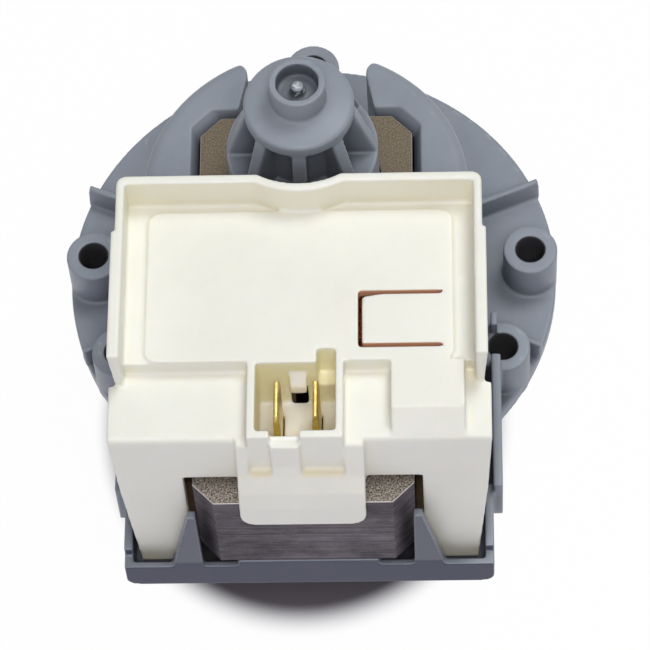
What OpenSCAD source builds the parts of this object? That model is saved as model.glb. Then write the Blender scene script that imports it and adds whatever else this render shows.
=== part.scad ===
// Drain pump with a permanent-magnet motor, standing on its impeller.
// +Z is the rotor axis and points to the motor's rear. The yoke lies at -Y.
// The origin is on the rotor axis, in the plane of the flange's mounting face.

/* [Flange] */
// Thickness of the flange disc
flange_t = 2.5; // [2.2:0.1:3.5]
// Diameter of the circle through the screw bosses
screw_pcd = 61.4; // [61:0.1:66]
// Diameter of a screw hole
screw_hole_d = 4; // [3:0.1:4.4]
// Diameter of a screw boss
boss_d = 7.6; // [7:0.1:8.4]
// Height of a boss above the flange
boss_h = 6.8; // [4:0.1:7]
// Angle between a fin and the side boss next to it
fin_angle = 22.5; // [20:0.5:23]
// Height of a fin above the flange
fin_h = 3.3; // [2:0.1:5]
// Thickness of a fin at its top
fin_t = 0.8; // [0.6:0.1:1.6]
// Outer diameter of the locating spigot under the flange
spigot_d = 52; // [50:0.5:54]
// Height of the spigot
spigot_h = 6; // [5:0.5:7]
// Radial thickness of the spigot
spigot_t = 2.4; // [2.2:0.1:3]

/* [Rotor and bearings] */
// Diameter of the shaft
shaft_d = 4; // [3:0.1:4.4]
// Diameter of the rotor magnet
magnet_d = 16.8; // [16:0.1:17.6]
// Length of the rotor magnet
magnet_l = 21; // [18:0.5:22]
// Radial gap between the magnet and its can
air_gap = 0.5; // [0.4:0.05:0.8]
// Wall of the rotor can
can_wall = 1.25; // [1:0.05:1.5]
// Running clearance of the shaft in its bearings, on the radius
run_fit = 0.03; // [0.02:0.01:0.08]
// Wall of a bearing sleeve
bearing_wall = 1.07; // [0.9:0.01:1.2]
// Wall of a rubber bearing ring
grommet_wall = 1.15; // [1:0.05:1.3]
// Length of the rear bearing
rear_bearing_l = 9; // [7:0.5:10]
// Length of the front bearing
front_bearing_l = 6.5; // [6:0.5:7]
// Thickness of a thrust washer
washer_t = 0.8; // [0.6:0.1:1]

/* [Bearing tower] */
// Wall of the bearing seat in the tower
tower_wall = 1.2; // [1:0.1:1.4]
// Height of the ribbed tower between the can and its cap
rib_h = 9.3; // [8.5:0.1:12]
// Number of tower ribs
rib_count = 8; // [6:1:10]
// Thickness of a tower rib
rib_t = 1.9; // [1.4:0.1:2.2]
// Diameter of the tower cap
cap_d = 14.6; // [14:0.1:16]
// Height of the cap's straight edge
cap_h = 2.1; // [1.8:0.1:3]
// Diameter of the collar on the cap
collar_d = 7.4; // [7:0.1:8]
// Height of the collar
collar_h = 3.9; // [3:0.1:5]

/* [Stator] */
// Width of the laminated core
core_w = 29; // [28.5:0.1:29.6]
// Distance from the rotor axis to the front of the yoke
core_reach = 47.8; // [47.4:0.1:50]
// Distance from the rotor axis to the pole ends
core_tail = 11; // [10.9:0.1:12]
// Width of each leg of the core
leg_w = 8.1; // [7.6:0.1:8.3]
// Depth of the yoke
yoke_depth = 11.3; // [9:0.1:11.8]
// Corner chamfer of the laminations
core_chamfer = 2.8; // [2:0.1:3.2]
// Height of the lamination stack
stack_h = 17.5; // [16:0.5:18]
// Height of the stack above the flange
core_lift = 7.6; // [7.2:0.1:8.4]
// Gap between the poles and the can, on the radius
pole_gap = 0.35; // [0.3:0.05:0.6]
// Width of the gap between the two pole tips
tip_gap = 10; // [8:0.5:12]

/* [Coils] */
// Wall of a bobbin tube
bobbin_wall = 0.8; // [0.6:0.1:0.9]
// Thickness of a bobbin end flange
bobbin_flange_t = 1.2; // [1:0.1:1.6]
// Height of a bobbin flange above its winding
bobbin_lip = 0.4; // [0.3:0.1:0.5]
// Length of a bobbin on legs of the usual length; it grows with them
bobbin_l = 20.8; // [18:0.1:21]
// Thickness of a winding
winding_build = 4; // [3:0.1:4.2]

/* [Arches and cradle] */
// Outer radius of the arches round the poles
arch_r = 22.2; // [21.5:0.1:22.4]
// Rounding of the arches' outer edge
arch_round = 1.5; // [0.5:0.1:2]
// Half width of the gap between the two arches, at their outer edge
arch_gap = 7; // [5.5:0.1:7.5]
// Height of the cradle's front lip above its underside
bar_h = 5.4; // [4.5:0.1:6]
// Thickness of the cradle floor
tray_floor = 1; // [0.8:0.1:1.1]
// Thickness of the cradle's side walls
tray_wall = 1.3; // [1:0.1:1.6]
// Height of the guide hooks above the front lip
hook_h = 14.9; // [12:0.1:16]

/* [Coil cover] */
// Thickness of the cover's rim
cover_wall = 1.6; // [1.4:0.05:1.75]
// Room between the bobbins and the cover's sides
side_room = 2.35; // [2:0.05:2.5]
// Height of the cover's rim above its shelf
rim_h = 7.9; // [6:0.1:9]
// Height of the channel floor above the shelf
channel_h = 2.2; // [1.8:0.1:3]
// Height of the plateau above the channel
plateau_h = 0.6; // [0.3:0.1:1]
// Height of the front shelf above the stator
shelf_lift = 11.8; // [11:0.1:13]
// Width of the slit round the spring tongue
slit_w = 0.5; // [0.3:0.05:0.8]

/* [Connector] */
// Distance between the two tab blades
tab_pitch = 5; // [4.6:0.1:5.4]
// Width of a tab blade
tab_w = 6.3; // [5.6:0.1:6.6]
// Thickness of a tab blade
tab_t = 0.8; // [0.6:0.1:0.9]
// Inner width of the connector shroud
shroud_in_w = 10.3; // [9.8:0.1:10.8]
// Inner length of the connector shroud
shroud_in_l = 9.7; // [9.2:0.1:10]
// Wall of the connector shroud
shroud_wall = 1.05; // [0.9:0.05:1.2]
// Depth of the connector shroud
shroud_depth = 11; // [10:0.1:11.3]

/* [Impeller] */
// Diameter of the impeller
impeller_d = 43; // [40:0.5:46]
// Height of the impeller
impeller_h = 15; // [14:0.5:18]
// Number of blades
blade_count = 8; // [5:1:10]
// Thickness of a blade
blade_t = 1.8; // [1.4:0.1:2.4]
// Outer diameter of the impeller's hub
hub_d = 17.6; // [17:0.1:19]
// Wall of the impeller's hub
hub_wall = 1.5; // [1.2:0.1:1.8]
// Angle of the driving lug, and of the stop without its rubber
lug_angle = 40; // [30:1:50]
// Thickness of the rubber on each side of the stop, as an angle
bumper_angle = 10; // [6:1:14]

/* [Hidden] */
$fn = 96;
lap = 0.1;
far = 100;

body_grey = [0.47, 0.50, 0.54];
cover_ivory = [0.94, 0.93, 0.89];
steel_grey = [0.50, 0.46, 0.44];
copper = [0.72, 0.42, 0.22];
brass = [0.80, 0.66, 0.30];
rubber_black = [0.10, 0.10, 0.11];
carbon_grey = [0.22, 0.22, 0.24];
magnet_grey = [0.28, 0.28, 0.30];
bright_steel = [0.75, 0.76, 0.78];
hub_white = [0.85, 0.85, 0.82];
bobbin_dark = [0.15, 0.15, 0.16];

// Flange
screw_r = screw_pcd/2;
boss_r = boss_d/2;
boss_top = flange_t + boss_h;
rim_margin = 0.1;
flange_r = screw_r + boss_r - rim_margin;
boss_angles = [0, 90, 180, 210, 330];
fin_side_angles = [fin_angle, -fin_angle, 180 - fin_angle, 180 + fin_angle];
fin_proud = 0.3;
fin_draft = 0.5;
fin_l = 9.5;
groove_depth = 1.15;
ring_cord = 0.9;
ring_squeeze = 0.05;

// Rotor and bearings, along the axis
shaft_r = shaft_d/2;
magnet_r = magnet_d/2;
chamber_r = magnet_r + air_gap;
can_r = chamber_r + can_wall;
core_z = flange_t + core_lift;
core_top = core_z + stack_h;
magnet_mid = (core_z + core_top)/2;
magnet_z = magnet_mid - magnet_l/2;
hub_end = 1;
hub_core_t = 1.4;
hub_end_inset = 0.6;
washer_gap = 0.2;
thrust_gap = 0.3;
press_gap = 0.02;
washer_rim = 2;
washer_r = shaft_r + washer_rim;
front_washer_z = magnet_z - hub_end - washer_gap - washer_t;
rear_washer_z = magnet_z + magnet_l + hub_end + washer_gap;
front_bearing_top = front_washer_z - thrust_gap;
front_bearing_z = front_bearing_top - front_bearing_l;
rear_bearing_z = rear_washer_z + washer_t + thrust_gap;
rear_bearing_top = rear_bearing_z + rear_bearing_l;
bearing_r = shaft_r + run_fit + bearing_wall;
grommet_r = bearing_r + grommet_wall;
grommet_inset = 0.5;
seat_fit = 0.05;
seat_r = grommet_r + seat_fit;
shaft_spare = 2;
shaft_top = rear_bearing_top + shaft_spare;

// Can and tower
chamber_room = 4.35;
chamber_top = rear_bearing_z + chamber_room;
can_end_t = 1.8;
can_top = chamber_top + can_end_t;
tower_r = seat_r + tower_wall;
seat_spare = 1.5;
seat_top = shaft_top + seat_spare;
cap_low = can_top + rib_h;
cap_edge = cap_low + cap_h;
cap_bevel = 0.3;
cap_slope = 0.5;
shoulder_t = 1.1;
shoulder_h = 0.4;
cap_r = cap_d/2;
collar_r = collar_d/2;
collar_base = cap_edge + cap_slope + shoulder_h;
collar_top = collar_base + collar_h;
collar_wall = 0.9;
collar_floor = collar_top - 2.6;
nub_r = 0.9;
nub_h = 1.7;

// Carrier under the can
carrier_flange_r = 15;
carrier_flange_t = 1.6;
carrier_fit = 0.1;
carrier_plug_r = chamber_r - carrier_fit;
nose_h = 3.4;
nose_wall = 2.2;
nose_r = seat_r + nose_wall;
seal_step = 0.65;
seal_r = seat_r + seal_step;
seal_fit = 0.05;
seal_lip_t = 0.9;
carrier_ring_drop = 2.25;
carrier_ring_z = front_bearing_top - grommet_inset - carrier_ring_drop;
carrier_groove_h = 1.9;
carrier_groove_depth = 1.55;
carrier_ring_cord = 0.75;
nose_z = -carrier_flange_t - nose_h;

// Core and coils
core_half = core_w/2;
leg_in = core_half - leg_w;
pole_r = can_r + pole_gap;
core_fit = 0.25;
coil_rear = 12.6;
usual_leg = 23.9;
coil_room = core_reach - yoke_depth - coil_rear;
coil_l = bobbin_l + coil_room - usual_leg;
bobbin_y = -coil_rear - coil_l;
bobbin_fit = 0.25;
tube_grow = bobbin_fit + bobbin_wall;
winding_fit = 0.05;
coil_grow = tube_grow + winding_build;
flange_grow = coil_grow + bobbin_lip;
coil_apart = 1.9;
flange_grow_in = leg_in - coil_apart/2;
coil_grow_in = flange_grow_in - bobbin_lip;
coil_corner_r = 2.5;

// Arches
arch_proud = 0.4;
arch_top = core_top + arch_proud;
arch_draft = 0.4;
arch_base_r = arch_r + arch_draft;
arch_front = -9;
arch_flare = 4.8;
arch_gap_in = arch_gap + arch_flare;
arch_lead = 1.3;
arch_lead_h = 2;
arch_nose_r = 2;
arch_lean = atan(arch_flare/(arch_base_r + 1));
nose_out = arch_gap_in*cos(arch_lean) + arch_nose_r;
nose_back = sqrt(pow(arch_base_r - arch_nose_r, 2) - pow(nose_out, 2));
arch_nose = [nose_out*cos(arch_lean) - nose_back*sin(arch_lean),
             nose_out*sin(arch_lean) + nose_back*cos(arch_lean)];
nose_angle = atan2(arch_nose[1], arch_nose[0]);

// Cover
cavity_half = core_half + flange_grow + side_room;
rim_in_half = cavity_half + 0.35;
cover_half = rim_in_half + cover_wall;
cover_back_half = cover_half - 0.45;
cover_front_half = cover_half + 0.4;
rim_flare = 0.5;
cover_fit = 0.25;
notch_room = 1;
notch_r = can_r + notch_room;
back_wall = 1.25;
back_y = -9.75;
back_step_y = -18;
back_low = arch_top + 0.6;
shelf_z = core_top + shelf_lift;
channel_z = shelf_z + channel_h;
plateau_z = channel_z + plateau_h;
rim_z = shelf_z + rim_h;
roof_t = 1.2;
plateau_half = rim_in_half - 2.7;
plateau_r = 1.6;
plateau_back = -12.4;
front_set = 3.2;
front_y = -core_reach + front_set;
plateau_set = 10;
plateau_front = front_y + plateau_set;
rim_set = 8.1;
rim_front = front_y + rim_set;
rim_corner_r = 1.3;
front_wall = 1.3;
front_draft = 0.7;
front_round = 0.9;
skirt_z = boss_top + 1.2;
leg_low = 5;
leg_edge_in = core_half + 1.1;
leg_taper_z = 25;
leg_taper_half = cover_front_half - 0.55;
leg_low_half = cover_front_half - 1.85;
skirt_half = cover_front_half - 1.5;
window_top = core_top + 1.4;
bump_x = [11.8, 21.2];
bump_front = front_y + 3.2;
bump_foot = front_y + 0.5;
slit_x = [7.6, 18.5];
slit_set = [1.9, 10.1];
slit_y = [plateau_front + slit_set[0], plateau_front + slit_set[1]];

// Connector
tab_mid_x = -0.35;
tab_set = 4.65;
tab_mid_y = front_y + tab_set;
shroud_mid_x = -0.45;
shroud_top = shelf_z + 2.8;
shroud_floor_t = 1.2;
shroud_floor = shroud_top - shroud_depth;
shroud_front = front_y;
shroud_rear = shroud_front + shroud_in_l;
shroud_left = shroud_mid_x - shroud_in_w/2;
shroud_right = shroud_mid_x + shroud_in_w/2;
key_w = 2.4;
key_l = 2;
key_floor = shelf_z - 3.4;
tab_top = shroud_top - 0.3;
tab_bevel = 0.65;
tab_bevel_h = 1.2;
tab_foot = core_top + 1;
tab_fit = 0.1;
block_half = 8.2;
block_corner_r = 2;
apron_gap = 0.25;
apron_in = -core_reach - apron_gap;
apron_t = 0.9;
apron_bulge = 0.25;
apron_out = apron_in - apron_t - apron_bulge;
apron_low = core_top - 3.9;
block_low = core_top + 0.4;
ledge_drop = 5.9;
ledge_z = shelf_z - ledge_drop;
ledge_y = shroud_front - shroud_wall - 1.25;
block_shoulder = [0.75, 0.35];
block_bend = [1.4, 2.5];
pillar_x = [-3.7, 0.1];
pillar_proud = 0.75;
notch_floor = shroud_top - 1.5;
latch_x = [-1.35, 0.85];
latch_top = shroud_top - 2.4;
latch_rise = 4.9;
latch_low = shroud_floor + latch_rise;
latch_edge = 1.7;
latch_proud = 1.4;
latch_hole_h = 4.3;

// Cradle
tray_lift = 0.7;
tray_z = flange_t + tray_lift;
tray_top = tray_z + tray_floor;
lip_z = tray_z + bar_h;
lip_t = 0.9;
bar_y = -core_reach - 0.2;
tray_in_half = cover_front_half + cover_fit;
tray_half = tray_in_half + tray_wall;
bar_half = leg_low_half + 2.1;
bar_wall = 1.2;
bar_corner_r = 1.6;
lip_step = 2;
front_zone_l = 7.8;
front_zone_y = front_y + front_zone_l;
front_zone_z = lip_z + 1.5;
side_wall_z = lip_z + 3.5;
side_wall_rear = -screw_r/2 - screw_hole_d/2 - 0.5;
pad_half = 9.45;
pad_depth = 5;
hook_base = [core_half - 0.3, core_half + 3.8];
hook_tip = [core_half - 0.2, core_half + 0.9];
hook_t = 1.3;
tray_rear = -12;
guide_t = 0.9;
guide_y = [-13.4, -11.4];

// Impeller
impeller_r = impeller_d/2;
impeller_gap = 2;
impeller_top = nose_z - impeller_gap;
impeller_low = impeller_top - impeller_h;
disc_t = 1.4;
hub_r = hub_d/2;
cup_r = hub_r - hub_wall;
cup_floor_t = 3;
cup_floor = impeller_low + cup_floor_t;
tip_socket = 1.8;
tip_gap_z = 0.3;
shaft_low = cup_floor - tip_socket + tip_gap_z;
cap_fit = 0.05;
end_gap = 0.4;
lug_room = 0.4;
dog_wall = 1.8;
dog_hub_r = shaft_r + dog_wall;
dog_low = cup_floor + end_gap;
dog_top = impeller_top - disc_t - end_gap;
stop_in_r = dog_hub_r + lug_room;
bumper_t = 0.05;

// A ring about the rotor axis between two heights
module ring(outer, inner, low, high) {
    translate([0, 0, low]) difference() {
        cylinder(r = outer, h = high - low);
        translate([0, 0, -1]) cylinder(r = inner, h = high - low + 2);
    }
}

// A block between two corners
module span(low, high) {
    translate(low) cube(high - low);
}

// A ring of round cord about the rotor axis
module cord_ring(mid_r, cord_r, height) {
    translate([0, 0, height]) rotate_extrude() translate([mid_r, 0]) circle(r = cord_r);
}

// A part of a ring between two angles
module ring_sector(outer, inner, low, high, from_angle, to_angle) {
    translate([0, 0, low]) rotate([0, 0, from_angle])
        rotate_extrude(angle = to_angle - from_angle)
            translate([inner, 0]) square([outer - inner, high - low]);
}

// A profile in Y and Z, drawn out along X
module along_x(points, from_x, to_x) {
    translate([from_x, 0, 0]) rotate([90, 0, 90]) linear_extrude(to_x - from_x) polygon(points);
}

// A profile in X and Z, drawn out along Y
module along_y(points, from_y, to_y) {
    translate([0, to_y, 0]) rotate([90, 0, 0]) linear_extrude(to_y - from_y) polygon(points);
}

// The points of a rounded corner, from one angle to another
function corner(mid, r, from_angle, to_angle, steps = 6) =
    [for (i = [0:steps]) mid + r*[cos(from_angle + (to_angle - from_angle)*i/steps),
                                  sin(from_angle + (to_angle - from_angle)*i/steps)]];

// The same points on the other side of the middle, in reverse order
function mirrored(points) = [for (i = [len(points) - 1:-1:0]) [-points[i][0], points[i][1]]];

// Outline of a lamination without its window and bore, grown by a margin
module core_outline(grow) {
    half = core_half + grow;
    front = -core_reach - grow;
    tail = core_tail + grow;
    right_side = [[half - core_chamfer, front], [half, front + core_chamfer],
                  [half, tail - core_chamfer], [half - core_chamfer, tail]];
    polygon(concat(right_side, mirrored(right_side)));
}

// Space over the core that widens from one margin to another between two heights
module lead_in(low, high, from_grow, to_grow) {
    half = [core_half + from_grow, core_half + to_grow];
    tail = [core_tail + from_grow, core_tail + to_grow];
    slant = (half + tail - core_chamfer*[1, 1])/sqrt(2);
    slant_side = [[-far, low], [slant[0], low], [slant[1], high], [-far, high]];
    intersection() {
        along_y([[-half[0], low], [half[0], low], [half[1], high], [-half[1], high]], -far, far);
        along_x([[-far, low], [tail[0], low], [tail[1], high], [-far, high]], -far, far);
        rotate([0, 0, 45]) along_y(slant_side, -far, far);
        rotate([0, 0, 135]) along_y(slant_side, -far, far);
    }
}

// A fin along X that thickens to its foot on the flange
module fin() {
    foot_y = fin_t/2 + fin_draft;
    along_x([[-foot_y, flange_t - lap], [foot_y, flange_t - lap],
             [fin_t/2, flange_t + fin_h], [-fin_t/2, flange_t + fin_h]],
            flange_r - fin_l, flange_r + fin_proud);
}

module flange() {
    cylinder(r = flange_r, h = flange_t);
    for (angle = boss_angles) rotate([0, 0, angle]) translate([screw_r, 0, 0])
        cylinder(r = boss_r, h = boss_top);
    for (angle = fin_side_angles) rotate([0, 0, angle]) fin();
    difference() {
        ring(spigot_d/2, spigot_d/2 - spigot_t, -spigot_h, lap);
        ring(spigot_d/2 + 1, spigot_d/2 - groove_depth, -spigot_h/2 - ring_cord, -spigot_h/2 + ring_cord);
    }
}

module tower() {
    rotate_extrude() polygon([[0, 0], [can_r, 0], [can_r, can_top], [tower_r, can_top], [tower_r, cap_low],
        [cap_r, cap_low], [cap_r, cap_edge - cap_bevel], [cap_r - cap_bevel, cap_edge],
        [collar_r + shoulder_t, cap_edge + cap_slope], [collar_r, collar_base], [collar_r, collar_top],
        [0, collar_top]]);
    for (i = [0:rib_count - 1]) rotate([0, 0, 360*i/rib_count + 90]) rotate([90, 0, 0])
        linear_extrude(rib_t, center = true)
            polygon([[tower_r - lap, can_top - lap], [can_r - lap, can_top - lap], [can_r - lap, can_top],
                     [cap_r - lap, cap_low + lap], [tower_r - lap, cap_low + lap]]);
}

module arches() {
    mid = [arch_r - arch_round, arch_top - arch_round];
    gap_side = concat([[arch_gap_in, 0]], corner(arch_nose, arch_nose_r, 180 + arch_lean, nose_angle, 12),
                      [2*arch_base_r*[cos(nose_angle), sin(nose_angle)]]);
    difference() {
        rotate_extrude() polygon(concat([[0, flange_t - lap], [arch_base_r, flange_t - lap]],
            corner(mid, arch_round, 0, 90), [[0, arch_top]]));
        span([-far, -far, -1], [far, arch_front, far]);
        translate([0, 0, flange_t]) linear_extrude(far) polygon(concat(gap_side, mirrored(gap_side)));
        translate([0, 0, core_z]) linear_extrude(far) core_outline(core_fit);
        lead_in(arch_top - arch_lead_h, arch_top + lap, core_fit, arch_lead);
    }
}

module guide_hook() {
    along_y([[hook_base[0], lip_z - 1], [hook_base[1], lip_z - 1], [hook_base[1], lip_z],
             [hook_tip[1], lip_z + hook_h], [hook_tip[0], lip_z + hook_h], [hook_base[0], lip_z + 1]],
            bar_y, bar_y + hook_t);
}

module cradle() {
    low_mid = [bar_half - bar_corner_r, tray_z + bar_corner_r];
    bar_low = corner(low_mid, bar_corner_r, -90, 0);
    bar_face = concat(bar_low, [[bar_half, front_zone_z]]);
    // front bar with its lip and the narrow tray behind it, and the pad that the yoke rests on
    difference() {
        along_y(concat(bar_face, mirrored(bar_face)), bar_y, front_zone_y);
        span([-bar_half + bar_wall, bar_y + lip_t, tray_top], [bar_half - bar_wall, front_zone_y + lap, far]);
        span([-far, bar_y - lap, lip_z], [far, bar_y + lip_step, far]);
    }
    span([-pad_half, bar_y, tray_z], [pad_half, bar_y + pad_depth, core_z]);
    for (side = [0, 1]) mirror([side, 0, 0]) {
        guide_hook();
        span([tray_in_half, guide_y[0], flange_t - lap], [tray_in_half + guide_t, guide_y[1], side_wall_z]);
        span([tray_in_half, front_zone_y - tray_wall, tray_z], [tray_half, side_wall_rear, side_wall_z]);
        span([bar_half - bar_wall, front_zone_y - tray_wall, tray_z],
             [tray_half, front_zone_y, front_zone_z]);
    }
    span([-tray_half, front_zone_y - tray_wall, tray_z], [tray_half, side_wall_rear, tray_top]);
    span([-cavity_half, side_wall_rear - lap, tray_z], [cavity_half, tray_rear, tray_top]);
    // web between the flange and the cradle floor
    translate([0, 0, flange_t - lap]) linear_extrude(tray_lift + 2*lap) intersection() {
        circle(r = flange_r - tray_lift);
        translate([-cavity_half, -far]) square([2*cavity_half, far + tray_rear]);
    }
}

module pump_body() {
    color(body_grey) difference() {
        union() {
            flange();
            tower();
            arches();
            cradle();
        }
        translate([0, 0, -1]) cylinder(r = chamber_r, h = rear_bearing_z + 1);
        ring(chamber_r, tower_r, rear_bearing_z - lap, chamber_top);
        cylinder(r = seat_r, h = seat_top);
        ring(collar_r - collar_wall, nub_r, collar_floor, far);
        translate([0, 0, collar_floor + nub_h]) cylinder(r = nub_r + lap, h = far);
        for (angle = boss_angles) rotate([0, 0, angle]) translate([screw_r, 0, -1])
            cylinder(d = screw_hole_d, h = boss_top + 2);
    }
}

module stator_core() {
    color(steel_grey) translate([0, 0, core_z]) linear_extrude(stack_h) difference() {
        core_outline(0);
        translate([-leg_in, -core_reach + yoke_depth]) square([2*leg_in, core_reach - yoke_depth]);
        translate([-tip_gap/2, 0]) square([tip_gap, far]);
        circle(r = pole_r);
    }
}

// A block round the right leg with rounded long edges, grown by one margin and, towards the other leg,
// by another
module leg_block(grow, grow_in, round_r, from_y, to_y) {
    right = core_half + grow - round_r;
    left = leg_in - grow_in + round_r;
    low = core_z - grow + round_r;
    high = core_top + grow - round_r;
    along_y(concat(corner([right, low], round_r, -90, 0), corner([right, high], round_r, 0, 90),
                   corner([left, high], round_r, 90, 180), corner([left, low], round_r, 180, 270)),
            from_y, to_y);
}

module bobbin() {
    edge_r = 0.5;
    rear = -coil_rear;
    difference() {
        union() {
            leg_block(tube_grow, tube_grow, edge_r, bobbin_y, rear);
            leg_block(flange_grow, flange_grow_in, edge_r, bobbin_y, bobbin_y + bobbin_flange_t);
            leg_block(flange_grow, flange_grow_in, edge_r, rear - bobbin_flange_t, rear);
        }
        leg_block(bobbin_fit, bobbin_fit, bobbin_fit/2, bobbin_y - 1, rear + 1);
    }
}

module winding() {
    low = bobbin_y + bobbin_flange_t + winding_fit;
    high = -coil_rear - bobbin_flange_t - winding_fit;
    difference() {
        leg_block(coil_grow, coil_grow_in, coil_corner_r, low, high);
        leg_block(tube_grow + winding_fit, tube_grow + winding_fit, 0.5, low - 1, high + 1);
    }
}

module left_bobbin() {
    color(bobbin_dark) mirror([1, 0, 0]) bobbin();
}

module right_bobbin() {
    color(bobbin_dark) bobbin();
}

module left_winding() {
    color(copper) mirror([1, 0, 0]) winding();
}

module right_winding() {
    color(copper) winding();
}

// Section of the cover's rear part, with its rim flared at the top
function rim_section(half) = [[half - rim_flare, skirt_z], [half - rim_flare, shelf_z], [half, rim_z]];

// Rear box of the cover, up to the rim, with its hollow below and its tray above
module cover_rear() {
    side = rim_section(cover_half);
    back_side = rim_section(cover_back_half);
    back_in = back_y - back_wall;
    corner_mid = [cover_back_half - rim_corner_r, back_y - rim_corner_r];
    back_corner = concat([[cover_back_half, -far]], corner(corner_mid, rim_corner_r, 0, 90));
    difference() {
        union() {
            along_y(concat(side, mirrored(side)), rim_front, back_step_y);
            intersection() {
                along_y(concat(back_side, mirrored(back_side)), back_step_y - lap, back_y);
                linear_extrude(far) polygon(concat(back_corner, mirrored(back_corner)));
            }
            intersection() {
                cylinder(r = notch_r + back_wall, h = rim_z);
                span([-notch_r, -far, back_low], [notch_r, back_y, far]);
            }
        }
        difference() {
            union() {
                span([-cavity_half, rim_front - 1, 0], [cavity_half, back_in, channel_z - roof_t]);
                span([-rim_in_half, rim_front - 1, channel_z], [rim_in_half, back_in, far]);
            }
            cylinder(r = notch_r + back_wall, h = far);
        }
        span([-cavity_half, back_in - lap, 0], [cavity_half, 0, back_low]);
        span([-rim_in_half, -far, shelf_z], [rim_in_half, plateau_front, far]);
        cylinder(r = notch_r, h = far);
    }
    plateau();
    span([-rim_in_half, plateau_front, shelf_z - roof_t], [rim_in_half, plateau_front + roof_t, channel_z]);
}

module plateau() {
    x = plateau_half - plateau_r;
    rear = plateau_back - plateau_r;
    front = plateau_front + plateau_r;
    points = concat(corner([x, rear], plateau_r, 0, 90), corner([-x, rear], plateau_r, 90, 180),
                    corner([-x, front], plateau_r, 180, 270), corner([x, front], plateau_r, 270, 360));
    translate([0, 0, channel_z - lap]) linear_extrude(plateau_h + lap) polygon(points);
}

// Front box of the cover with its two legs. Its face leans outward to the bottom and its top edge is rounded.
module cover_front() {
    side = [[skirt_half, skirt_z], [leg_taper_half, leg_taper_z], [cover_front_half, shelf_z]];
    hollow = [[skirt_half - cover_wall, skirt_z - 1], [leg_taper_half - cover_wall, leg_taper_z],
              [cover_front_half - cover_wall, shelf_z - roof_t]];
    face = [[leg_edge_in, window_top], [leg_edge_in, leg_low], [leg_low_half, leg_low],
            [leg_taper_half, leg_taper_z], [cover_front_half, shelf_z]];
    profile = concat([[rim_front, leg_low - 1], [front_y - front_draft, leg_low - 1]],
                     corner([front_y + front_round, shelf_z - front_round], front_round, 180, 90),
                     [[rim_front, shelf_z]]);
    intersection() {
        union() {
            difference() {
                along_y(concat(side, mirrored(side)), front_y - 1, rim_front);
                along_y(concat(hollow, mirrored(hollow)), front_y - 2, rim_front + 1);
            }
            along_y(concat(face, mirrored(face)), front_y - 1, front_y + front_wall);
        }
        along_x(profile, -far, far);
    }
    span([-rim_in_half, rim_front - lap, shelf_z - roof_t], [rim_in_half, plateau_front + lap, shelf_z]);
    along_x([[plateau_front + lap, shelf_z - lap], [bump_foot, shelf_z - lap], [bump_foot, shelf_z],
             [bump_front, plateau_z], [plateau_front + lap, plateau_z]], bump_x[0], bump_x[1]);
}

// Solid round the connector: the shroud, its coding key and the block in front with the apron over the yoke
module connector_solid() {
    apron_mid = [block_half - block_corner_r, apron_low + block_corner_r];
    apron_side = concat(corner(apron_mid, block_corner_r, -90, 0), [[block_half, shelf_z]]);
    span([shroud_left - shroud_wall, shroud_front - shroud_wall, shroud_floor - shroud_floor_t],
         [shroud_right + shroud_wall, shroud_rear + shroud_wall, shroud_top]);
    span([pillar_x[0], shroud_front - shroud_wall - pillar_proud, ledge_z],
         [pillar_x[1], shroud_front, notch_floor]);
    span([shroud_right - key_w - shroud_wall, shroud_rear, key_floor - shroud_floor_t],
         [shroud_right + shroud_wall, shroud_rear + key_l + shroud_wall, shroud_top]);
    intersection() {
        along_x([[front_y + front_wall, shelf_z], [front_y, shelf_z],
                 [front_y - block_shoulder[0], shelf_z - block_shoulder[1]], [ledge_y, ledge_z],
                 [ledge_y - block_bend[0], ledge_z - block_bend[1]],
                 [apron_in - apron_t, block_low], [apron_out, apron_low], [apron_in, apron_low],
                 [apron_in, block_low], [front_y + front_wall, block_low]], -far, far);
        along_y(concat(apron_side, mirrored(apron_side)), -far, 0);
    }
}

// What is cut out of the connector: its hollow, the coding key, the notch, the panels and the tab slots
module connector_hollow() {
    span([shroud_left, shroud_front, shroud_floor], [shroud_right, shroud_rear, far]);
    span([shroud_right - key_w, shroud_rear - lap, key_floor], [shroud_right, shroud_rear + key_l, far]);
    span([pillar_x[0], shroud_front - 2*shroud_wall, notch_floor], [pillar_x[1], shroud_front + lap, far]);
    span([shroud_left - shroud_wall, -far, ledge_z], [pillar_x[0], shroud_front - shroud_wall, far]);
    span([pillar_x[1], -far, ledge_z], [shroud_right + shroud_wall, shroud_front - shroud_wall, far]);
    span([latch_x[0], shroud_rear - lap, shroud_floor - 2*shroud_floor_t],
         [latch_x[1], shroud_rear + 2*shroud_wall, shroud_floor + latch_hole_h]);
    for (side = [-1, 1]) translate([tab_mid_x + side*tab_pitch/2, tab_mid_y, 0])
        span([-tab_t/2 - tab_fit, -tab_w/2 - tab_fit, 0], [tab_t/2 + tab_fit, tab_w/2 + tab_fit, far]);
}

module latch() {
    along_x([[shroud_rear + lap, latch_low], [shroud_rear - latch_proud, latch_low],
             [shroud_rear - latch_proud, latch_low + latch_edge], [shroud_rear, latch_top],
             [shroud_rear + lap, latch_top]],
            latch_x[0], latch_x[1]);
}

module tongue_slit() {
    span([slit_x[0], slit_y[0], 0], [slit_x[0] + slit_w, slit_y[1], far]);
    for (y = [slit_y[0], slit_y[1] - slit_w]) span([slit_x[0], y, 0], [slit_x[1], y + slit_w, far]);
}

module coil_cover() {
    color(cover_ivory) {
        difference() {
            union() {
                difference() {
                    cover_rear();
                    tongue_slit();
                }
                cover_front();
                connector_solid();
            }
            connector_hollow();
        }
        latch();
    }
}

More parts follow.
